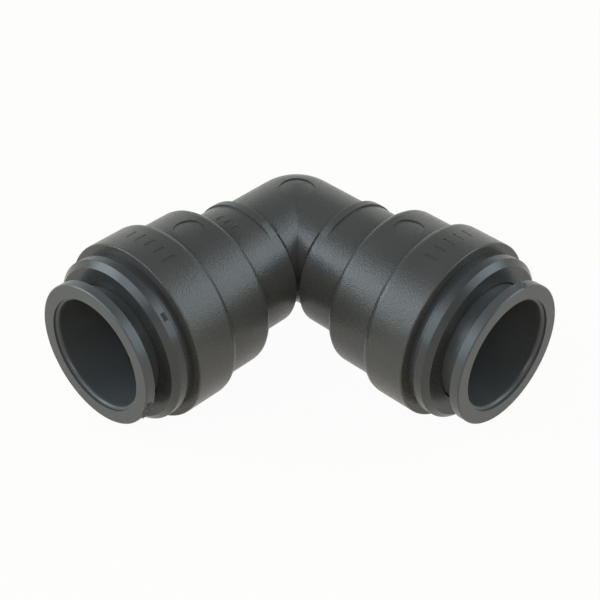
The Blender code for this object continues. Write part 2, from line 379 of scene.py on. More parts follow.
# Spacer rings are plain grey mouldings, paler and duller than the black ones around them
SPACER_ACETAL = MouldedPlastic(
    name="plain_grey_acetal",
    colour="#606163",
    deep_colour="#57585a",
    roughness=0.46,
    grain_size=0.00035,
    grain_height=0.000005,
    wave_size=0.003,
    wave_height=0.00001,
)

# Seal rubber swallows the light: almost black, with a dull grey bloom in patches
SEAL_RUBBER = NitrileRubber()

# Stamped strip is bright among the dark mouldings, and its gloss shifts along the rolling lines
TOOTH_STEEL = StampedSteel()


@dataclass(frozen=True)
class MouldMarks:
    """Moulding marks of one port: where its cap's gate dimple is, and the torn gate on its collet."""

    gate_angle: float
    stub_angle: float
    stub_half_width: float


MOULD_MARKS = {
    Side.RIGHT: MouldMarks(
        gate_angle=math.radians(200.0), stub_angle=math.radians(-13.0), stub_half_width=0.0008
    ),
    Side.LEFT: MouldMarks(
        gate_angle=math.radians(-45.6), stub_angle=math.radians(-115.0), stub_half_width=0.0022
    ),
}


@dataclass(frozen=True)
class Corner:
    """Corner of an outline: its axial position, its radius and the size of its rounding."""

    axial: float
    radius: float
    rounding: float = 0.0


def trace(corners: Sequence[Corner]) -> list[Point]:
    """Trace a closed outline, with an arc at each rounded corner and a narrow flat strip on either side.

    Args:
        corners: corners in order.

    Returns:
        Points of the outline as axial position and radius.
    """
    places = [Vector((corner.axial, corner.radius)) for corner in corners]
    points: list[Point] = []
    for index, corner in enumerate(corners):
        here = places[index]
        if not corner.rounding:
            points.append(tuple(here))
            continue
        back = (places[index - 1] - here).normalized()
        onward = (places[(index + 1) % len(places)] - here).normalized()
        half = back.angle(onward) / 2
        reach = corner.rounding / math.tan(half)
        middle = here + (back + onward).normalized() * corner.rounding / math.sin(half)
        start = here + back * reach - middle
        end = here + onward * reach - middle
        sweep = start.angle(end)
        points.append(tuple(here + back * (reach + HOLD)))
        for step in range(ROUND_STEPS + 1):
            done = sweep * step / ROUND_STEPS
            turned = (start * math.sin(sweep - done) + end * math.sin(done)) / math.sin(sweep)
            points.append(tuple(middle + turned))
        points.append(tuple(here + onward * (reach + HOLD)))
    return points


def to_mesh(shape: bmesh.types.BMesh, name: str) -> Mesh:
    """Turn a finished shape into a mesh.

    Args:
        shape: the shape, which is used up.
        name: the mesh's name.

    Returns:
        The mesh.
    """
    mesh = bpy.data.meshes.new(name)
    shape.to_mesh(mesh)
    shape.free()
    return mesh


def soften(shape: bmesh.types.BMesh, size: float) -> None:
    """Round all edges of a small part.

    Args:
        shape: the part.
        size: how far each rounding reaches.
    """
    bmesh.ops.bevel(
        shape,
        geom=shape.edges,
        offset=size,
        segments=BEVEL_STEPS,
        affect="EDGES",
        profile=ROUND_PROFILE,
    )


def clean(mesh: Mesh) -> None:
    """Weld a mesh, turn its faces outwards and shade it smooth between its sharp edges.

    Args:
        mesh: the mesh.
    """
    shape = bmesh.new()
    shape.from_mesh(mesh)
    bmesh.ops.remove_doubles(shape, verts=shape.verts, dist=WELD)
    bmesh.ops.recalc_face_normals(shape, faces=shape.faces)
    shape.to_mesh(mesh)
    shape.free()
    mesh.shade_smooth()
    mesh.set_sharp_from_angle(angle=SHARP_ANGLE)


def add_object(name: str, data: bpy.types.ID) -> bpy.types.Object:
    """Add an object to the scene.

    Args:
        name: the object's name.
        data: its mesh, camera or lamp.

    Returns:
        The object.
    """
    obj = bpy.data.objects.new(name, data)
    bpy.context.scene.collection.objects.link(obj)
    return obj


def remove(obj: bpy.types.Object) -> None:
    """Remove an object and its mesh.

    Args:
        obj: the object.
    """
    mesh = obj.data
    bpy.data.objects.remove(obj)
    bpy.data.meshes.remove(mesh)


def apply_modifiers(obj: bpy.types.Object) -> Mesh:
    """Apply an object's modifiers, and remove the object with its own mesh.

    Args:
        obj: object with modifiers.

    Returns:
        The result as a plain mesh.
    """
    graph = bpy.context.evaluated_depsgraph_get()
    mesh = bpy.data.meshes.new_from_object(obj.evaluated_get(graph))
    remove(obj)
    return mesh


@dataclass(frozen=True)
class Port:
    """One port of the elbow: its side, the crossing of the port axes and the turn of its axis about Z."""

    side: Side
    crossing: Vector
    turn: float

    def node(self, part: str) -> str:
        """Name of this port's CAD node for a part."""
        return f"{self.side.value}_{part}"

    def collet_body(self) -> str:
        """Name of this port's moving body."""
        return self.node("release_collet")

    def from_tree(self) -> Matrix:
        """Matrix from a node tree's frame to the place of this port."""
        return Matrix.Translation(self.crossing) @ Matrix.Rotation(self.turn, 4, "Z") @ TREE_TO_PORT

    def span(self, part: str) -> tuple[float, float]:
        """Reach of a CAD node along this port.

        Args:
            part: the node's name without its side.

        Returns:
            Axial start and end.
        """
        low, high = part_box(self.node(part))
        if self.side is Side.RIGHT:
            return low.x - self.crossing.x, high.x - self.crossing.x
        return self.crossing.y - high.y, self.crossing.y - low.y

    def radius(self, part: str) -> float:
        """Outer radius of a CAD node on this port."""
        low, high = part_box(self.node(part))
        return (high.z - low.z) / 2


def find_ports() -> list[Port]:
    """Read the two ports from the boxes of the CAD nodes.

    Returns:
        The right port and the left port.
    """
    right_low, right_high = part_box("right_retaining_cap")
    left_low, left_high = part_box("left_retaining_cap")
    body_low, body_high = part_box("elbow_body")
    crossing = Vector(
        ((left_low.x + left_high.x) / 2, (right_low.y + right_high.y) / 2, (body_low.z + body_high.z) / 2)
    )
    return [Port(Side.RIGHT, crossing, 0.0), Port(Side.LEFT, crossing, math.radians(-QUARTER_TURN))]


@dataclass(frozen=True)
class Label:
    """What ties a finished piece to the frame: its name, body and slot, and the nodes that it stands for."""

    name: str
    body: str
    slot: Slot
    nodes: tuple[str, ...] = ()


def place_piece(mesh: Mesh, label: Label) -> None:
    """Make a finished mesh a piece that rides on its body.

    Args:
        mesh: finished mesh in the row frame, with its material.
        label: what ties the piece to the frame.
    """
    mesh.name = label.name
    piece = add_object(label.name, mesh)
    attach(piece, label.body)
    if label.nodes:
        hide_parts(*label.nodes)
    LOG.info("%s: %d faces on %s", label.name, len(mesh.polygons), label.body)


class Recipe:
    """Geometry Nodes tree in the making: a geometry input and output, and named inputs."""

    def __init__(self, name: str, inputs: dict[str, str]) -> None:
        """Start a tree.

        Args:
            name: the tree's name.
            inputs: kinds of socket by the inputs' names.
        """
        self.tree = bpy.data.node_groups.new(name, "GeometryNodeTree")
        for key, kind in {"Geometry": "Geometry", **inputs}.items():
            self.tree.interface.new_socket(key, in_out="INPUT", socket_type=f"NodeSocket{kind}")
        self.tree.interface.new_socket("Geometry", in_out="OUTPUT", socket_type="NodeSocketGeometry")
        self.inputs = add_node(self.tree, "NodeGroupInput", {}).outputs

    def add(self, kind: str, inputs: dict[Any, Any], **settings: Any) -> NodeSocket:
        """Add a node and return its first output."""
        return add_node(self.tree, kind, inputs, **settings).outputs[0]

    def end(self, geometry: NodeSocket) -> "Recipe":
        """Send a geometry to the output and return the finished recipe."""
        add_node(self.tree, "NodeGroupOutput", {"Geometry": geometry})
        return self

    def end_with_material(self, geometry: NodeSocket) -> "Recipe":
        """Realize a geometry, give it the material input and finish the recipe.

        Args:
            geometry: geometry with or without instances.

        Returns:
            The finished recipe.
        """
        real = self.add("GeometryNodeRealizeInstances", {"Geometry": geometry})
        dressed = {"Geometry": real, "Material": self.inputs["Material"]}
        return self.end(self.add("GeometryNodeSetMaterial", dressed))

    def run(self, base: Mesh, values: dict[str, Any], port: Port) -> Mesh:
        """Evaluate the tree on a mesh and set the result in a port.

        Args:
            base: mesh that goes into the tree.
            values: values of the tree's inputs, by their names.
            port: port where the result goes.

        Returns:
            The result as a plain mesh in the row frame.
        """
        holder = add_object(base.name, base)
        modifier = holder.modifiers.new(self.tree.name, "NODES")
        modifier.node_group = self.tree
        for item in self.tree.interface.items_tree:
            if item.in_out == "INPUT" and item.name in values:
                modifier[item.identifier] = values[item.name]
        mesh = apply_modifiers(holder)
        mesh.transform(port.from_tree())
        clean(mesh)
        return mesh


def outline_mesh(points: Sequence[Point], guide: float) -> Mesh:
    """Lay an outline out for turning: X is the distance from the guide circle, and Y runs against the axis.

    Args:
        points: closed outline as axial position and radius.
        guide: radius of the circle that carries the outline.

    Returns:
        Mesh of the outline's edges.
    """
    mesh = bpy.data.meshes.new("outline")
    edges = [(index, (index + 1) % len(points)) for index in range(len(points))]
    mesh.from_pydata([(radius - guide, -axial, 0.0) for axial, radius in points], edges, [])
    return mesh


# Inputs that several trees share
TURNED_INPUTS = {"Guide Radius": "Float", "Steps": "Int"}
ROUND_INPUTS = {"Count": "Int", "First Angle": "Float", "Step Angle": "Float"}
MATERIAL_INPUT = {"Material": "Material"}


def shape_inputs(name: str) -> dict[str, str]:
    """Inputs of a tree for the size, place and turn of a shape."""
    return {f"{name} Size": "Vector", f"{name} Place": "Vector", f"{name} Turn": "Rotation"}


class Workshop:
    """The Geometry Nodes trees that turn rings and repeat what goes round them."""

    def __init__(self) -> None:
        """Build the trees."""
        self.turning = self._turning()
        self.pattern = self._pattern()
        self.ring = self._ring()
        self.cap = self._cap()
        self.collet = self._collet()
        self.row = self._row()
        self.stub = self._stub()

    def _turning(self) -> Recipe:
        """Tree that sweeps an outline along a circle.

        Returns:
            Recipe to be used as a group.
        """
        recipe = Recipe("Turning", TURNED_INPUTS)
        circle = recipe.add(
            "GeometryNodeCurvePrimitiveCircle",
            {"Resolution": recipe.inputs["Steps"], "Radius": recipe.inputs["Guide Radius"]},
        )
        outline = recipe.add("GeometryNodeMeshToCurve", {"Mesh": recipe.inputs["Geometry"]})
        return recipe.end(recipe.add("GeometryNodeCurveToMesh", {"Curve": circle, "Profile Curve": outline}))

    def _pattern(self) -> Recipe:
        """Tree that repeats a shape about the axis, from a first angle on.

        Returns:
            Recipe to be used as a group.
        """
        recipe = Recipe("Round pattern", ROUND_INPUTS)
        points = recipe.add("GeometryNodePoints", {"Count": recipe.inputs["Count"]})
        index = recipe.add("GeometryNodeInputIndex", {})
        angle = recipe.add(
            "ShaderNodeMath",
            {0: index, 1: recipe.inputs["Step Angle"], 2: recipe.inputs["First Angle"]},
            operation="MULTIPLY_ADD",
        )
        turn = recipe.add("FunctionNodeAxisAngleToRotation", {"Axis": (0.0, 0.0, 1.0), "Angle": angle})
        copies = recipe.add(
            "GeometryNodeInstanceOnPoints",
            {"Points": points, "Instance": recipe.inputs["Geometry"], "Rotation": turn},
        )
        return recipe.end(recipe.add("GeometryNodeRealizeInstances", {"Geometry": copies}))

    def _turned(self, recipe: Recipe) -> NodeSocket:
        """Add the turning group to a recipe, fed by its own inputs."""
        fed = {key: recipe.inputs[key] for key in ("Geometry", *TURNED_INPUTS)}
        return recipe.add("GeometryNodeGroup", fed, node_tree=self.turning.tree)

    def _repeated(self, recipe: Recipe, shape: NodeSocket, first: NodeSocket | float) -> NodeSocket:
        """Add the pattern group to a recipe, which has its own count and step.

        Args:
            recipe: recipe that gets the group.
            shape: shape to repeat.
            first: angle of the first copy.

        Returns:
            All copies.
        """
        fed = {key: recipe.inputs[key] for key in ("Count", "Step Angle")}
        fed |= {"Geometry": shape, "First Angle": first}
        return recipe.add("GeometryNodeGroup", fed, node_tree=self.pattern.tree)

    def _block(self, recipe: Recipe, name: str) -> NodeSocket:
        """Add a block to a recipe, which has inputs for its size, place and turn.

        Args:
            recipe: recipe that gets the block.
            name: name of the block in the recipe's inputs.

        Returns:
            The block.
        """
        size, place, turn = (recipe.inputs[key] for key in shape_inputs(name))
        block = recipe.add("GeometryNodeMeshCube", {"Size": size})
        moved = {"Geometry": block, "Translation": place, "Rotation": turn}
        return recipe.add("GeometryNodeTransform", moved)

    def _ring(self) -> Recipe:
        """Tree of a plain turned ring."""
        recipe = Recipe("Turned ring", TURNED_INPUTS | MATERIAL_INPUT)
        return recipe.end_with_material(self._turned(recipe))

    def _cap(self) -> Recipe:
        """Tree of a turned cap with the small dimple of its moulding gate.

        Returns:
            The recipe.
        """
        recipe = Recipe("Retaining cap", TURNED_INPUTS | shape_inputs("Gate") | MATERIAL_INPUT)
        shapes = {"Mesh 1": self._turned(recipe), "Mesh 2": self._block(recipe, "Gate")}
        return recipe.end_with_material(recipe.add("GeometryNodeMeshBoolean", shapes, solver="EXACT"))

    def _collet(self) -> Recipe:
        """Tree of a turned collet whose end is split into fingers, with a pocket for a tooth in each.

        Returns:
            The recipe.
        """
        blocks = shape_inputs("Slot") | shape_inputs("Pocket")
        recipe = Recipe("Split collet", TURNED_INPUTS | ROUND_INPUTS | blocks | MATERIAL_INPUT)
        slots = self._repeated(recipe, self._block(recipe, "Slot"), recipe.inputs["First Angle"])
        pockets = self._repeated(recipe, self._block(recipe, "Pocket"), 0.0)
        collet = self._turned(recipe)
        for cut in (slots, pockets):
            collet = recipe.add("GeometryNodeMeshBoolean", {"Mesh 1": collet, "Mesh 2": cut}, solver="EXACT")
        return recipe.end_with_material(collet)

    def _row(self) -> Recipe:
        """Tree that repeats one shape about a port's axis.

        Returns:
            The recipe.
        """
        recipe = Recipe("Row round an axis", ROUND_INPUTS | MATERIAL_INPUT)
        copies = self._repeated(recipe, recipe.inputs["Geometry"], recipe.inputs["First Angle"])
        return recipe.end_with_material(copies)

    def _stub(self) -> Recipe:
        """Tree of a rough lump at an angle round a port, as a gate leaves it when it is torn off.

        Returns:
            The recipe.
        """
        roughness = {"Lump Scale": "Float", "Lump Height": "Float"}
        recipe = Recipe("Gate stub", shape_inputs("Stub") | roughness | MATERIAL_INPUT)
        size, place, turn = (recipe.inputs[key] for key in shape_inputs("Stub"))
        ball = recipe.add("GeometryNodeMeshIcoSphere", {"Radius": 1.0, "Subdivisions": STUB_SUBDIVISIONS})
        flat = recipe.add("GeometryNodeTransform", {"Geometry": ball, "Scale": size, "Translation": place})
        noise = recipe.add(
            "ShaderNodeTexNoise",
            {
                "Vector": recipe.add("GeometryNodeInputPosition", {}),
                "Scale": recipe.inputs["Lump Scale"],
                "Detail": STUB_NOISE_DETAIL,
            },
        )
        level = recipe.add("ShaderNodeMath", {0: noise, 1: NOISE_MIDDLE}, operation="SUBTRACT")
        height = recipe.add(
            "ShaderNodeMath", {0: level, 1: recipe.inputs["Lump Height"]}, operation="MULTIPLY"
        )
        out = recipe.add("ShaderNodeCombineXYZ", {"X": height})
        torn = recipe.add("GeometryNodeSetPosition", {"Geometry": flat, "Offset": out})
        turned = recipe.add("GeometryNodeTransform", {"Geometry": torn, "Rotation": turn})
        return recipe.end_with_material(turned)


@dataclass(frozen=True)
class PinMark:
    """Round mark that an ejector pin leaves, sunk a little into the top of the moulding."""

    x: float
    y: float
    radius: float
    skin_radius: float
    depth: float = 0.0002
    middle_share: float = 0.45
    lean_share: float = 0.55
    lean_turn: float = math.radians(-45.0)
    rise: float = 0.0010
    rings: int = 7
    sides: int = 64

    def floor(self, distance: float, turn: float) -> Vector:
        """Place on the mark's floor, which is deepest towards the bend and runs out on the other side.

        Args:
            distance: distance from the mark's middle.
            turn: angle round the mark's middle.

        Returns:
            Place from the crossing of the port axes.
        """
        x = self.x + distance * math.cos(turn)
        y = self.y + distance * math.sin(turn)
        from_right_leg = abs(y) if x > 0.0 else math.hypot(x, y)
        from_left_leg = abs(x) if y < 0.0 else math.hypot(x, y)
        across = min(from_right_leg, from_left_leg)
        lean = self.lean_share * math.cos(turn - self.lean_turn) * distance / self.radius
        sink = self.depth * (self.middle_share - lean)
        return Vector((x, y, math.sqrt(self.skin_radius**2 - across**2) - sink))

    def add_punch(self, shape: bmesh.types.BMesh) -> None:
        """Add the shape to cut away: the mark's floor, a steep wall and a flat top.

        Args:
            shape: shape that gets it.
        """
        turns = [math.tau * index / self.sides for index in range(self.sides)]
        middle = shape.verts.new(self.floor(0.0, 0.0))
        loops = [
            [shape.verts.new(self.floor(self.radius * ring / self.rings, turn)) for turn in turns]
            for ring in range(1, self.rings + 1)
        ]
        top = self.skin_radius + self.rise
        loops.append([shape.verts.new((vert.co.x, vert.co.y, top)) for vert in loops[-1]])
        for index in range(self.sides):
            beside = (index + 1) % self.sides
            shape.faces.new((middle, loops[0][beside], loops[0][index]))
            for low, high in zip(loops, loops[1:]):
                shape.faces.new((low[index], low[beside], high[beside], high[index]))
        shape.faces.new(loops[-1])


@dataclass
class ElbowBody:
    """One-piece moulded elbow: bend, necks, seal housings and cups, with the waterway through it.

    Angles among its sizes are in degrees round a leg.
    """

    ports: list[Port]
    waterway_radius: float = 0.0072
    bend_radius: float = 0.0103
    socket_radius: float = 0.0092
    neck_radius: float = 0.0109
    seal_bore: float = 0.0115
    housing_radius: float = 0.01365
    cup_bore: float = 0.0130
    neck_start: float = 0.0110
    tube_stop: float = 0.0134
    housing_start: float = 0.0196
    seal_seat: float = 0.0208
    cup_start: float = 0.0281
    cup_seat: float = 0.0290
    band_width: float = 0.0015
    band_height: float = 0.00028
    band_draft: float = 0.00003
    band_edge: float = 0.00004
    band_start: float = 54.7
    band_fade: float = 15.1
    neck_rounding: float = 0.00026
    relief: float = 0.0009
    relief_middle: float = -25.0
    relief_span: float = 78.0
    valley_width: float = 0.00068
    valley_foot: float = 0.0004
    valley_depth: float = 0.00028
    fine_edge: float = 0.00010
    housing_rounding: float = 0.0012
    cup_rounding: float = 0.00135
    mouth_rounding: float = 0.00022
    mouth_chamfer: float = 0.00025
    bend_mark_radius: float = 0.00295
    bend_mark_shift: float = 0.0005
    housing_mark_radius: float = 0.00235
    housing_mark_place: float = 0.0243
    bar_count: int = 5
    bar_step: float = 8.5
    bar_place: float = 0.0323
    bar_length: float = 0.0021
    bar_width: float = 0.00042
    bar_depth: float = 0.00014
    bar_edge: float = 0.00006
    coarse_step: float = 2.25
    fine_span: float = 21.0
    fine_count: int = 75
    fine_gap: float = 0.12
    bend_steps: int = 12
    ball_steps: int = 48

    def cup_radius(self) -> float:
        """Outer radius of a cup, from the frame."""
        low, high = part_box("elbow_body")
        return (high.z - low.z) / 2

    def mouth(self) -> float:
        """Axial position of a cup's mouth, from the frame."""
        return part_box("elbow_body")[1].x - self.ports[0].crossing.x

    def angles(self) -> np.ndarray:
        """Angles round a leg: close together over the top, and with the edges of bars and band among them.

        Returns:
            Angles in radians, from 0 upwards.
        """
        coarse = np.arange(0.0, FULL_TURN, self.coarse_step)
        coarse = coarse[np.abs(coarse - QUARTER_TURN) > self.fine_span]
        fine = np.linspace(QUARTER_TURN - self.fine_span, QUARTER_TURN + self.fine_span, self.fine_count)
        inner = math.degrees(self.bar_width / 2 / self.cup_radius())
        outer = math.degrees((self.bar_width / 2 + self.bar_edge) / self.cup_radius())
        edges = np.add.outer(self.bar_middles(), np.array([-outer, -inner, inner, outer])).ravel()
        ends = np.array([self.band_start, self.band_start + self.band_fade])
        stops = np.concatenate([edges, ends, FULL_TURN - ends])
        plain = np.concatenate([coarse, fine])
        apart = np.abs(np.subtract.outer(plain, stops)).min(axis=1) > self.fine_gap
        return np.radians(np.unique(np.concatenate([plain[apart], stops])))

    def bar_middles(self) -> np.ndarray:
        """Angles of the size bars, in degrees."""
        return QUARTER_TURN + self.bar_step * (np.arange(self.bar_count) - (self.bar_count - 1) / 2)

    def bar_sink(self, axial: float, angles: np.ndarray) -> np.ndarray:
        """How deep the size bars lie at each angle of a ring on the cup.

        Args:
            axial: axial position of the ring.
            angles: angles round the leg.

        Returns:
            Depth at each angle.
        """
        away = np.abs(np.subtract.outer(np.degrees(angles), self.bar_middles())).min(axis=1)
        across = (self.bar_width / 2 - np.radians(away) * self.cup_radius()) / self.bar_edge + 1.0
        along = (self.bar_length / 2 - abs(axial - self.bar_place)) / self.bar_edge + 1.0
        return self.bar_depth * np.clip(across, 0.0, 1.0) * min(max(along, 0.0), 1.0)

    def outer_corners(self) -> list[Corner]:
        """Outline of the outside of a leg.

        Returns:
            Corners from the bend to the mouth.
        """
        band_radius = self.neck_radius + self.band_height
        band_end = self.neck_start + self.band_width
        half_bar = self.bar_length / 2
        bar_ends = [-half_bar - self.bar_edge, -half_bar, half_bar, half_bar + self.bar_edge]
        valley = self.bend_radius - self.valley_depth
        return [
            Corner(self.neck_start - self.valley_width, self.bend_radius),
            Corner(self.neck_start - self.valley_foot, valley),
            Corner(self.neck_start, valley),
            Corner(self.neck_start, band_radius, self.neck_rounding),
            Corner(band_end, band_radius, self.band_edge),
            Corner(band_end + self.band_draft, self.neck_radius),
            Corner(band_end + self.band_draft + self.band_edge, self.neck_radius),
            Corner(self.housing_start, self.neck_radius),
            Corner(self.housing_start, self.housing_radius, self.housing_rounding),
            Corner(self.cup_start, self.housing_radius),
            Corner(self.cup_start, self.cup_radius(), self.cup_rounding),
            *[Corner(self.bar_place + end, self.cup_radius()) for end in bar_ends],
            Corner(self.mouth(), self.cup_radius(), self.mouth_rounding),
        ]

    def inner_corners(self) -> list[Corner]:
        """Outline of the inside of a leg.

        Returns:
            Corners from the mouth to the waterway.
        """
        return [
            Corner(self.mouth(), self.cup_bore + self.mouth_chamfer, self.fine_edge),
            Corner(self.mouth() - self.mouth_chamfer, self.cup_bore, self.fine_edge),
            Corner(self.cup_seat, self.cup_bore),
            Corner(self.cup_seat, self.seal_bore, self.fine_edge),
            Corner(self.seal_seat, self.seal_bore),
            Corner(self.seal_seat, self.socket_radius, self.fine_edge),
            Corner(self.tube_stop, self.socket_radius),
            Corner(self.tube_stop, self.waterway_radius, self.fine_edge),
            Corner(self.neck_start, self.waterway_radius),
        ]

    def band_share(self, angles: np.ndarray) -> np.ndarray:
        """How far the band stands up: it fades out towards the side that faces the other leg.

        Args:
            angles: angles round the leg.

        Returns:
            Share of the band's height at each angle.
        """
        low = (np.degrees(angles) - self.band_start) / self.band_fade
        high = (FULL_TURN - self.band_start - np.degrees(angles)) / self.band_fade
        return np.clip(np.minimum(low, high), 0.0, 1.0)

    def bend_radii(self, angles: np.ndarray) -> np.ndarray:
        """Radius of the bend, which draws in under the corner between the two legs.

        Args:
            angles: angles round the leg.

        Returns:
            Radius at each angle.
        """
        away = (np.degrees(angles) - self.relief_middle + HALF_TURN) % FULL_TURN - HALF_TURN
        share = np.clip(away / self.relief_span, -1.0, 1.0)
        return self.bend_radius - self.relief * np.cos(share * math.pi / 2) ** 2

    def outer_radii(self, axial: float, radius: float, angles: np.ndarray) -> np.ndarray:
        """Radius of a ring on the outside of a leg at each angle.

        Args:
            axial: axial position of the ring.
            radius: its radius on top of the leg, where the band stands up.
            angles: angles round the leg.

        Returns:
            Radius at each angle.
        """
        if axial >= self.housing_start:
            return radius - self.bar_sink(axial, angles)
        band_radius = self.neck_radius + self.band_height
        crest = self.neck_radius + self.band_height * self.band_share(angles)
        if axial > self.neck_start + self.band_width / 2:
            return self.neck_radius + (radius - self.neck_radius) * self.band_share(angles)
        bend = self.bend_radii(angles)
        if radius < self.bend_radius:
            return bend - (self.bend_radius - radius) * (1.0 - self.band_share(angles))
        return bend + (crest - bend) * (radius - self.bend_radius) / (band_radius - self.bend_radius)

    def leg_points(self, side: Side, axial: Measure, radius: Measure, angles: np.ndarray) -> np.ndarray:
        """Places on a leg.

        Args:
            side: the leg's port.
            axial: axial position, one or one for each angle.
            radius: radius, one or one for each angle.
            angles: angles round the leg.

        Returns:
            A row of places from the crossing of the port axes.
        """
        along = np.broadcast_to(axial, angles.shape)
        across = radius * np.cos(angles)
        up = radius * np.sin(angles)
        if side is Side.RIGHT:
            return np.stack([along, -across, up], axis=-1)
        return np.stack([across, -along, up], axis=-1)

    def bend_start(self, radius: Measure, angles: np.ndarray) -> np.ndarray:
        """Axial start of a leg: on the mitre beside the other leg, and at the crossing on the outside."""
        return np.maximum(0.0, radius * np.cos(angles))

    def leg(self, side: Side, angles: np.ndarray) -> np.ndarray:
        """Rings of one leg, from the outside of the bend over the mouth to the waterway.

        Args:
            side: the leg's port.
            angles: angles round the leg.

        Returns:
            Places by ring and angle.
        """
        bend = self.bend_radii(angles)
        start = self.bend_start(bend, angles)
        end = self.neck_start - self.valley_width
        rings = [
            self.leg_points(side, start + share * (end - start), bend, angles)
            for share in np.linspace(0.0, 1.0, self.bend_steps, endpoint=False)
        ]
        outer = self.outer_corners()
        outline = trace(outer + self.inner_corners())
        outer_count = len(trace(outer))
        for axial, radius in outline[:outer_count]:
            rings.append(self.leg_points(side, axial, self.outer_radii(axial, radius, angles), angles))
        rings += [self.leg_points(side, axial, radius, angles) for axial, radius in outline[outer_count:]]
        inner_start = self.bend_start(self.waterway_radius, angles)
        rings.append(self.leg_points(side, inner_start, self.waterway_radius, angles))
        return np.stack(rings)

    def ball(self, radius: float, angles: np.ndarray) -> np.ndarray:
        """Quarter ball between the outsides of the two legs.

        Args:
            radius: radius of the ball.
            angles: angles round the leg.

        Returns:
            Places by turn and angle.
        """
        outer = angles[np.cos(angles) < NEAR_ZERO]
        outward = -radius * np.cos(outer)
        turns = np.radians(np.linspace(0.0, QUARTER_TURN, self.ball_steps + 1))[:, None]
        up = np.broadcast_to(radius * np.sin(outer), (len(turns), len(outer)))
        return np.stack([-np.sin(turns) * outward, np.cos(turns) * outward, up], axis=-1)

    def cut_marks(self, mesh: Mesh) -> Mesh:
        """Cut the pin marks into the top of the moulding.

        Args:
            mesh: closed moulding, placed from the crossing of the port axes.

        Returns:
            The cut mesh.
        """
        shift = self.bend_mark_shift
        place = self.housing_mark_place
        shape = bmesh.new()
        PinMark(shift, -shift, self.bend_mark_radius, self.bend_radius).add_punch(shape)
        PinMark(place, 0.0, self.housing_mark_radius, self.housing_radius).add_punch(shape)
        PinMark(0.0, -place, self.housing_mark_radius, self.housing_radius).add_punch(shape)
        bmesh.ops.recalc_face_normals(shape, faces=shape.faces)
        moulding = add_object(mesh.name, mesh)
        punches = add_object("pin_marks", to_mesh(shape, "pin_marks"))
        cut = moulding.modifiers.new("pin_marks", "BOOLEAN")
        cut.operation = "DIFFERENCE"
        cut.solver = "EXACT"
        cut.object = punches
        result = apply_modifiers(moulding)
        remove(punches)
        return result

    def build(self) -> Mesh:
        """Build the moulding.

        Returns:
            Closed mesh in the row frame.
        """
        angles = self.angles()
        points: list[np.ndarray] = []
        faces: list[tuple[int, ...]] = []
        legs = [self.leg(port.side, angles) for port in self.ports]
        balls = [self.ball(radius, angles) for radius in (self.bend_radius, self.waterway_radius)]
        for grid, closed in [(leg, True) for leg in legs] + [(ball, False) for ball in balls]:
            first = sum(len(block) for block in points)
            rows, columns = grid.shape[:2]
            for row in range(rows - 1):
                for column in range(columns if closed else columns - 1):
                    beside = (column + 1) % columns
                    low = first + row * columns
                    high = low + columns
                    faces.append((low + column, low + beside, high + beside, high + column))
            points.append(grid.reshape(-1, 3))
        mesh = bpy.data.meshes.new("elbow_moulding")
        mesh.from_pydata(np.concatenate(points).tolist(), [], faces)
        clean(mesh)
        mesh = self.cut_marks(mesh)
        mesh.transform(Matrix.Translation(self.ports[0].crossing))
        clean(mesh)
        return mesh

    def dress(self, material: Material) -> None:
        """Build the moulding, give it its material and set it on the fixed body.

        Args:
            material: the body's plastic.
        """
        mesh = self.build()
        mesh.materials.append(material)
        place_piece(mesh, Label("elbow_moulding", FIXED_BODY, Slot.BODY, ("elbow_body",)))


@dataclass
class NeckBars:
    """Row of short raised bars that the mould leaves on top of a neck."""

    port: Port
    radius: float
    axial: float = 0.0160
    count: int = 3
    step: float = math.radians(9.0)
    length: float = 0.0013
    width: float = 0.00034
    height: float = 0.00012
    sunk: float = 0.00025
    rounding: float = 0.00005

    def bar(self) -> Mesh:
        """One bar at the top of the leg, sunk into its surface.

        Returns:
            Mesh of the bar in a tree's frame.
        """
        shape = bmesh.new()
        tall = self.height + self.sunk
        place = Matrix.Translation((self.radius + self.height - tall / 2, 0.0, self.axial))
        size = Matrix.Diagonal((tall, self.width, self.length, 1.0))
        bmesh.ops.create_cube(shape, size=1.0, matrix=place @ size)
        soften(shape, self.rounding)
        return to_mesh(shape, "neck_bar")

    def dress(self, workshop: Workshop, material: Material) -> None:
        """Repeat the bar over the top of the neck and set the row on the fixed body.

        Args:
            workshop: the node trees.
            material: the body's plastic.
        """
        values = {
            "Count": self.count,
            "First Angle": -self.step * (self.count - 1) / 2,
            "Step Angle": self.step,
            "Material": material,
        }
        mesh = workshop.row.run(self.bar(), values, self.port)
        place_piece(mesh, Label(self.port.node("neck_bars"), FIXED_BODY, Slot.BODY))


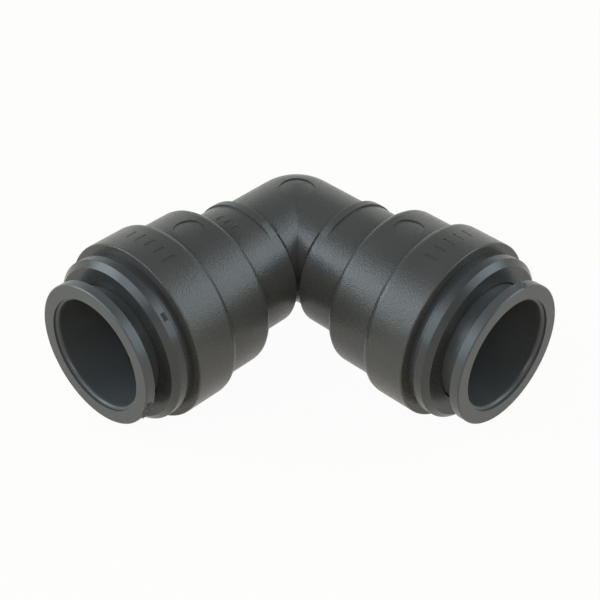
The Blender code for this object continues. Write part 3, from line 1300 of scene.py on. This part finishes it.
@dataclass
class RetainingCap:
    """Cap that holds the collet: sleeve in the cup, bevelled collar before the mouth, and the cam inside."""

    port: Port
    gate_angle: float
    bore: float = 0.0101
    cam_radius: float = 0.0120
    cam_slope: float = 0.3
    sleeve_radius: float = 0.0127
    shoulder_start: float = 0.0363
    groove_depth: float = 0.0002
    shoulder_fall: float = 0.00015
    collar_length: float = 0.0016
    bevel: float = 0.00095
    back_rounding: float = 0.00022
    edge: float = 0.00008
    gate_height: float = 0.0010
    gate_width: float = 0.0013
    gate_length: float = 0.0010
    gate_depth: float = 0.00013
    gate_tilt: float = math.radians(20.0)

    def outline(self) -> list[Point]:
        """Outline of the cap between the ends that the frame gives.

        Returns:
            Points of the closed outline.
        """
        start, front = self.port.span("retaining_cap")
        collar = self.port.radius("retaining_cap")
        shoulder = collar - self.groove_depth
        shoulder_low = shoulder - self.shoulder_fall
        collar_front = front - self.bevel
        collar_back = collar_front - self.collar_length
        cam_end = start + (self.cam_radius - self.bore) / self.cam_slope
        return trace(
            [
                Corner(start, self.sleeve_radius),
                Corner(self.shoulder_start, self.sleeve_radius),
                Corner(self.shoulder_start, shoulder_low, self.edge),
                Corner(collar_back, shoulder),
                Corner(collar_back, collar, self.back_rounding),
                Corner(collar_front, collar, self.edge),
                Corner(front, collar - self.bevel, self.edge),
                Corner(front, self.bore, self.edge),
                Corner(cam_end, self.bore),
                Corner(start, self.cam_radius),
            ]
        )

    def dress(self, workshop: Workshop, material: Material) -> None:
        """Turn the cap, press its gate mark in and set it on the fixed body.

        Args:
            workshop: the node trees.
            material: the cap's plastic.
        """
        collar = self.port.radius("retaining_cap")
        axial = self.port.span("retaining_cap")[1] - self.bevel - self.collar_length / 2
        out = collar - self.gate_depth + self.gate_height / 2
        gate = (out * math.cos(self.gate_angle), out * math.sin(self.gate_angle), axial)
        values = {
            "Guide Radius": self.sleeve_radius,
            "Steps": TURN_STEPS,
            "Gate Size": (self.gate_height, self.gate_width, self.gate_length),
            "Gate Place": gate,
            "Gate Turn": (0.0, -self.gate_tilt, self.gate_angle),
            "Material": material,
        }
        mesh = workshop.cap.run(outline_mesh(self.outline(), self.sleeve_radius), values, self.port)
        nodes = (self.port.node("retaining_cap"),)
        place_piece(mesh, Label(self.port.node("cap_moulding"), FIXED_BODY, Slot.CAP, nodes))


@dataclass
class ReleaseCollet:
    """Release collet: flange with a rounded lead-in, sleeve, and split fingers that carry the teeth."""

    port: Port
    tube_radius: float = 0.0090
    bore: float = 0.0091
    sleeve_radius: float = 0.00995
    head_radius: float = 0.0112
    head_nose: float = 0.0004
    head_land: float = 0.0011
    head_slope: float = 0.3
    flange_thickness: float = 0.0018
    flange_edge: float = 0.0002
    front_chamfer: float = 0.00018
    front_edge: float = 0.00003
    lip_width: float = 0.00052
    lip_depth: float = 0.00115
    step_width: float = 0.00006
    step_depth: float = 0.00035
    finger_count: int = 8
    slot_width: float = 0.0010
    slot_length: float = 0.0060
    tooth_bite: float = 0.00025
    tooth_length: float = 0.00135
    tooth_width: float = 0.0032
    tooth_thickness: float = 0.0006
    tooth_edge: float = 0.00015
    tooth_lean: float = math.radians(25.0)
    tooth_setback: float = 0.0016
    tooth_rounding: float = 0.00004
    pocket_gap: float = 0.0003

    def outline(self) -> list[Point]:
        """Outline of the collet between the ends that the frame gives.

        Returns:
            Points of the closed outline.
        """
        end, front = self.port.span("collet")
        flange = self.port.radius("collet")
        back = front - self.flange_thickness
        cone_start = end + self.head_land
        cone_end = cone_start + (self.head_radius - self.sleeve_radius) / self.head_slope
        step = self.bore + self.lip_width
        points = trace(
            [
                Corner(end, self.bore),
                Corner(end, self.head_radius - self.head_nose),
                Corner(end + self.head_nose, self.head_radius),
                Corner(cone_start, self.head_radius),
                Corner(cone_end, self.sleeve_radius),
                Corner(end + self.slot_length + self.slot_width, self.sleeve_radius),
                Corner(back, self.sleeve_radius),
                Corner(back, flange, self.flange_edge),
                Corner(front - self.front_chamfer, flange, self.front_edge),
                Corner(front, flange - self.front_chamfer, self.front_edge),
                Corner(front, step + self.step_width, self.front_edge),
                Corner(front - self.step_depth, step),
            ]
        )
        for index in range(1, LIP_STEPS + 1):
            turn = math.radians(QUARTER_TURN) * index / LIP_STEPS
            depth = self.step_depth + (self.lip_depth - self.step_depth) * (1.0 - math.cos(turn))
            points.append((front - depth, self.bore + self.lip_width * (1.0 - math.sin(turn))))
        points.append((end + self.slot_length + self.slot_width, self.bore))
        return points

    def tip(self) -> tuple[float, float]:
        """Radius and axial position of the teeth's biting edges."""
        return self.tube_radius - self.tooth_bite, self.port.span("collet")[0] + self.tooth_setback

    def dress(self, workshop: Workshop, material: Material) -> None:
        """Turn the collet, split its fingers, cut the pockets and set it on its moving body.

        Args:
            workshop: the node trees.
            material: the collet's plastic.
        """
        end = self.port.span("collet")[0]
        wall = self.sleeve_radius - self.bore
        inner = self.bore - wall
        outer = self.head_radius + wall
        radius, axial = self.tip()
        deep = 2 * self.tooth_length + self.pocket_gap
        shift = self.pocket_gap / 2
        step = math.tau / self.finger_count
        values = {
            "Guide Radius": self.sleeve_radius,
            "Steps": TURN_STEPS,
            "Count": self.finger_count,
            "Step Angle": step,
            "First Angle": step / 2,
            "Slot Size": (outer - inner, self.slot_width, self.slot_length + self.slot_width),
            "Slot Place": ((outer + inner) / 2, 0.0, end + (self.slot_length - self.slot_width) / 2),
            "Slot Turn": (0.0, 0.0, 0.0),
            "Pocket Size": (
                deep,
                self.tooth_width + 2 * self.pocket_gap,
                self.tooth_thickness + 2 * self.pocket_gap,
            ),
            "Pocket Place": (
                radius + shift * math.cos(self.tooth_lean),
                0.0,
                axial + shift * math.sin(self.tooth_lean),
            ),
            "Pocket Turn": (0.0, -self.tooth_lean, 0.0),
            "Material": material,
        }
        mesh = workshop.collet.run(outline_mesh(self.outline(), self.sleeve_radius), values, self.port)
        nodes = (self.port.node("collet"),)
        body = self.port.collet_body()
        place_piece(mesh, Label(self.port.node("collet_moulding"), body, Slot.COLLET, nodes))

    def tooth(self) -> Mesh:
        """One tooth at the top of the collet, ground to an edge and leaning out towards the flange.

        Returns:
            Mesh of the tooth in a tree's frame.
        """
        root = self.tooth_thickness / 2
        edge = self.tooth_edge / 2
        half = [(0.0, edge), (self.tooth_thickness, root), (self.tooth_length, root)]
        corners = half + [(out, -along) for out, along in reversed(half)]
        shape = bmesh.new()
        side = [shape.verts.new((out, -self.tooth_width / 2, along)) for out, along in corners]
        face = shape.faces.new(side)
        moved = bmesh.ops.extrude_face_region(shape, geom=[face])["geom"]
        verts = [item for item in moved if isinstance(item, bmesh.types.BMVert)]
        bmesh.ops.translate(shape, verts=verts, vec=(0.0, self.tooth_width, 0.0))
        bmesh.ops.recalc_face_normals(shape, faces=shape.faces)
        soften(shape, self.tooth_rounding)
        mesh = to_mesh(shape, "grab_tooth")
        radius, axial = self.tip()
        mesh.transform(Matrix.Translation((radius, 0.0, axial)) @ Matrix.Rotation(-self.tooth_lean, 4, "Y"))
        return mesh

    def dress_teeth(self, workshop: Workshop, material: Material) -> None:
        """Repeat the tooth in each finger and set the teeth on the moving body.

        Args:
            workshop: the node trees.
            material: the teeth's steel.
        """
        values = {
            "Count": self.finger_count,
            "First Angle": 0.0,
            "Step Angle": math.tau / self.finger_count,
            "Material": material,
        }
        mesh = workshop.row.run(self.tooth(), values, self.port)
        nodes = tuple(self.port.node(f"grab_tooth_{index + 1}") for index in range(self.finger_count))
        place_piece(mesh, Label(self.port.node("grab_teeth"), self.port.collet_body(), Slot.TOOTH, nodes))


@dataclass
class GateStub:
    """Rough lump on the rim of a collet's flange, where its moulding gate was torn off."""

    port: Port
    angle: float
    half_width: float
    proud: float = 0.0002
    half_depth: float = 0.00024
    half_length: float = 0.0009
    lump_size: float = 0.00042
    lump_height: float = 0.0011
    rim_middle: float = 0.0009

    def dress(self, workshop: Workshop, material: Material) -> None:
        """Make the lump and set it on the collet's moving body.

        Args:
            workshop: the node trees.
            material: the collet's plastic.
        """
        out = self.port.radius("collet") + self.proud - self.half_depth
        values = {
            "Stub Size": (self.half_depth, self.half_width, self.half_length),
            "Stub Place": (out, 0.0, self.port.span("collet")[1] - self.rim_middle),
            "Stub Turn": (0.0, 0.0, self.angle),
            "Lump Scale": 1 / self.lump_size,
            "Lump Height": self.lump_height,
            "Material": material,
        }
        mesh = workshop.stub.run(bpy.data.meshes.new("gate_stub"), values, self.port)
        place_piece(mesh, Label(self.port.node("gate_stub"), self.port.collet_body(), Slot.COLLET))


@dataclass
class SealPack:
    """O-ring and spacer ring behind a collet."""

    port: Port
    seal_radius: float = 0.0085
    seal_sides: int = 28
    spacer_bore: float = 0.0094
    spacer_lead_in: float = 0.0008
    edge: float = 0.00012

    def seal_outline(self) -> list[Point]:
        """Round section of the O-ring, as wide as the frame gives.

        Returns:
            Points of the closed outline.
        """
        start, end = self.port.span("o_ring")
        size = (end - start) / 2
        turns = [math.tau * index / self.seal_sides for index in range(self.seal_sides)]
        along = (start + end) / 2
        out = self.seal_radius + size
        return [(along + size * math.cos(turn), out + size * math.sin(turn)) for turn in turns]

    def spacer_outline(self) -> list[Point]:
        """Section of the spacer ring, with a lead-in for the tube.

        Returns:
            Points of the closed outline.
        """
        start, end = self.port.span("spacer_ring")
        outer = self.port.radius("spacer_ring")
        return trace(
            [
                Corner(start, self.spacer_bore, self.edge),
                Corner(start, outer, self.edge),
                Corner(end, outer, self.edge),
                Corner(end, self.spacer_bore + self.spacer_lead_in, self.edge),
                Corner(end - self.spacer_lead_in, self.spacer_bore, self.edge),
            ]
        )

    def dress(self, workshop: Workshop, rubber: Material, plastic: Material) -> None:
        """Turn both rings and set them on the fixed body.

        Args:
            workshop: the node trees.
            rubber: the O-ring's rubber.
            plastic: the spacer ring's plastic.
        """
        guide = self.spacer_bore
        for outline, part, name, slot, material in (
            (self.seal_outline(), "o_ring", "seal_ring", Slot.SEAL, rubber),
            (self.spacer_outline(), "spacer_ring", "spacer_moulding", Slot.SPACER, plastic),
        ):
            values = {"Guide Radius": guide, "Steps": TURN_STEPS, "Material": material}
            mesh = workshop.ring.run(outline_mesh(outline, guide), values, self.port)
            place_piece(mesh, Label(self.port.node(name), FIXED_BODY, slot, (self.port.node(part),)))


def direction(azimuth: float, elevation: float) -> Vector:
    """Direction from the fitting towards a viewer.

    Args:
        azimuth: degrees round the fitting, 0 in front of it on the -Y side and 90 on the +X side.
        elevation: degrees above the floor.

    Returns:
        Unit vector.
    """
    round_z = math.radians(azimuth)
    up = math.radians(elevation)
    return Vector((math.sin(round_z) * math.cos(up), -math.cos(round_z) * math.cos(up), math.sin(up)))


@dataclass(frozen=True)
class PhotoCamera:
    """Camera at the photograph's viewing angle, aimed beside the crossing of the port axes."""

    azimuth: float = 43.35
    elevation: float = 37.82
    roll: float = math.radians(0.8)
    distance: float = 0.27267
    aim_right: float = 0.00078
    aim_up: float = -0.01095
    lens: float = 96.75
    sensor: float = 36.0
    clip_start: float = 0.01

    def place(self, crossing: Vector) -> None:
        """Set the camera up and make it the scene's.

        Args:
            crossing: crossing of the port axes.
        """
        back = direction(self.azimuth, self.elevation)
        right = Vector((0.0, 0.0, 1.0)).cross(back).normalized()
        up = back.cross(right)
        data = bpy.data.cameras.new("photo_camera")
        data.lens = self.lens
        data.sensor_width = self.sensor
        data.clip_start = self.clip_start
        camera = add_object("photo_camera", data)
        tilted_right = right * math.cos(self.roll) + up * math.sin(self.roll)
        tilted_up = up * math.cos(self.roll) - right * math.sin(self.roll)
        matrix = Matrix((tilted_right, tilted_up, back)).transposed().to_4x4()
        matrix.translation = crossing + right * self.aim_right + up * self.aim_up + back * self.distance
        camera.matrix_world = matrix
        bpy.context.scene.camera = camera


@dataclass(frozen=True)
class SoftBox:
    """Soft lamp that faces the fitting."""

    name: str
    azimuth: float
    elevation: float
    distance: float
    width: float
    height: float
    power: float
    colour: str

    def place(self, target: Vector) -> None:
        """Hang the lamp and turn it to the target.

        Args:
            target: place that the lamp faces.
        """
        data = bpy.data.lights.new(self.name, "AREA")
        data.shape = "RECTANGLE"
        data.size = self.width
        data.size_y = self.height
        data.energy = self.power
        data.color = linear(self.colour)[:3]
        towards = direction(self.azimuth, self.elevation)
        lamp = add_object(self.name, data)
        lamp.location = target + towards * self.distance
        lamp.rotation_mode = "QUATERNION"
        lamp.rotation_quaternion = towards.to_track_quat("Z", "Y")
        lamp.visible_camera = False


@dataclass
class Studio:
    """White sweep, soft lamps and the light of the room."""

    lamps: Sequence[SoftBox]
    floor_colour: str = "#d9c9a8"
    floor_radius: float = 1.4
    sweep_radius: float = 0.25
    wall_height: float = 0.30
    sweep_steps: int = 10
    round_steps: int = 96
    white_share: float = 0.96
    mirror_share: float = 0.70
    room_colour: str = "#f2f3f4"
    room_strength: float = 0.31

    def sweep(self) -> None:
        """Floor that curves up into a low wall all round."""
        quarter = math.radians(QUARTER_TURN)
        turns = [quarter * index / self.sweep_steps for index in range(self.sweep_steps + 1)]
        profile = [
            (
                self.floor_radius + self.sweep_radius * math.sin(turn),
                self.sweep_radius * (1.0 - math.cos(turn)),
            )
            for turn in turns
        ]
        profile.append((self.floor_radius + self.sweep_radius, self.sweep_radius + self.wall_height))
        shape = bmesh.new()
        middle = shape.verts.new((0.0, 0.0, 0.0))
        rings = []
        for radius, height in profile:
            ring = []
            for index in range(self.round_steps):
                angle = math.tau * index / self.round_steps
                ring.append(shape.verts.new((radius * math.cos(angle), radius * math.sin(angle), height)))
            rings.append(ring)
        for index in range(self.round_steps):
            beside = (index + 1) % self.round_steps
            shape.faces.new((middle, rings[0][index], rings[0][beside]))
            for low, high in zip(rings, rings[1:]):
                shape.faces.new((low[index], high[index], high[beside], low[beside]))
        mesh = to_mesh(shape, "studio_sweep")
        mesh.shade_smooth()
        mesh.materials.append(self.paper())
        add_object("studio_sweep", mesh)

    def paper(self) -> Material:
        """White paper that reads as white to the eye and in reflections, and keeps the fitting's shadow.

        Returns:
            Material of the sweep.
        """
        material = bpy.data.materials.new("white_sweep_paper")
        material.use_nodes = True
        tree = material.node_tree
        add = partial(add_node, tree)
        tree.nodes.remove(tree.nodes["Principled BSDF"])
        rays = add("ShaderNodeLightPath", {})
        share = add(
            "ShaderNodeMath",
            {0: rays.outputs["Is Camera Ray"], 1: self.white_share},
            operation="MULTIPLY",
        )
        for kind in ("Is Glossy Ray", "Is Transmission Ray"):
            mirrored = add(
                "ShaderNodeMath",
                {0: rays.outputs[kind], 1: self.mirror_share},
                operation="MULTIPLY",
            )
            share = add(
                "ShaderNodeMath",
                {0: share.outputs[0], 1: mirrored.outputs[0]},
                operation="MAXIMUM",
            )
        matte = add("ShaderNodeBsdfDiffuse", {"Color": linear(self.floor_colour)})
        white = add("ShaderNodeEmission", {})
        mixed = add(
            "ShaderNodeMixShader",
            {0: share.outputs[0], 1: matte.outputs[0], 2: white.outputs[0]},
        )
        fill(tree, tree.nodes["Material Output"], {"Surface": mixed.outputs[0]})
        return material

    def room(self) -> None:
        """Even light of the room, and plain view settings."""
        scene = bpy.context.scene
        world = bpy.data.worlds.new("studio_room")
        world.use_nodes = True
        glow = {"Color": linear(self.room_colour), "Strength": self.room_strength}
        fill(world.node_tree, world.node_tree.nodes["Background"], glow)
        scene.world = world
        scene.view_settings.view_transform = "Standard"

    def build(self, target: Vector) -> None:
        """Set up the sweep, the room and the lamps.

        Args:
            target: place that the lamps face.
        """
        self.sweep()
        self.room()
        for lamp in self.lamps:
            lamp.place(target)


# Name, azimuth, elevation, distance, width, height, power and colour of each lamp
SOFT_BOXES = (
    SoftBox("left_soft_box", -44.6, 27.0, 0.60, 0.534, 0.437, 1.66, "#e2f6ff"),
    SoftBox("left_core", -48.6, 22.0, 0.60, 0.255, 0.322, 0.82, "#e4f3ff"),
    SoftBox("left_front_card", -4.6, 42.0, 0.60, 0.299, 0.277, 0.70, "#e5f2ff"),
    SoftBox("left_top_card", -16.6, 58.0, 0.60, 0.485, 0.190, 0.24, "#e8efff"),
    SoftBox("right_soft_box", 131.4, 33.0, 0.60, 0.461, 0.437, 1.36, "#e3f5ff"),
    SoftBox("right_core", 137.4, 31.0, 0.60, 0.233, 0.322, 0.33, "#e3f5ff"),
    SoftBox("right_card", 164.4, 36.0, 0.60, 0.255, 0.413, 0.37, "#e7faff"),
    SoftBox("right_top_card", 123.4, 58.0, 0.60, 0.485, 0.190, 0.08, "#eef4ff"),
    SoftBox("front_soft_box", 43.4, 33.0, 0.70, 0.222, 0.349, 1.20, "#f4f9ff"),
    SoftBox("back_card", 223.4, 22.0, 0.80, 0.614, 0.399, 0.24, "#ecf6f6"),
)


def main() -> None:
    """Build the fitting's pieces around the frame, then the studio."""
    logging.basicConfig(level=logging.INFO)
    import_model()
    ports = find_ports()
    workshop = Workshop()
    body_plastic = BODY_ACETAL.material()
    cap_plastic = CAP_ACETAL.material()
    collet_plastic = COLLET_ACETAL.material()
    spacer_plastic = SPACER_ACETAL.material()
    rubber = SEAL_RUBBER.material()
    steel = TOOTH_STEEL.material()

    elbow = ElbowBody(ports)
    elbow.dress(body_plastic)
    for port in ports:
        marks = MOULD_MARKS[port.side]
        RetainingCap(port, marks.gate_angle).dress(workshop, cap_plastic)
        collet = ReleaseCollet(port)
        collet.dress(workshop, collet_plastic)
        collet.dress_teeth(workshop, steel)
        GateStub(port, marks.stub_angle, marks.stub_half_width).dress(workshop, collet_plastic)
        SealPack(port).dress(workshop, rubber, spacer_plastic)
    NeckBars(ports[1], elbow.neck_radius).dress(workshop, body_plastic)

    crossing = ports[0].crossing
    PhotoCamera().place(crossing)
    Studio(SOFT_BOXES).build(crossing)


if __name__ == "__main__":
    main()
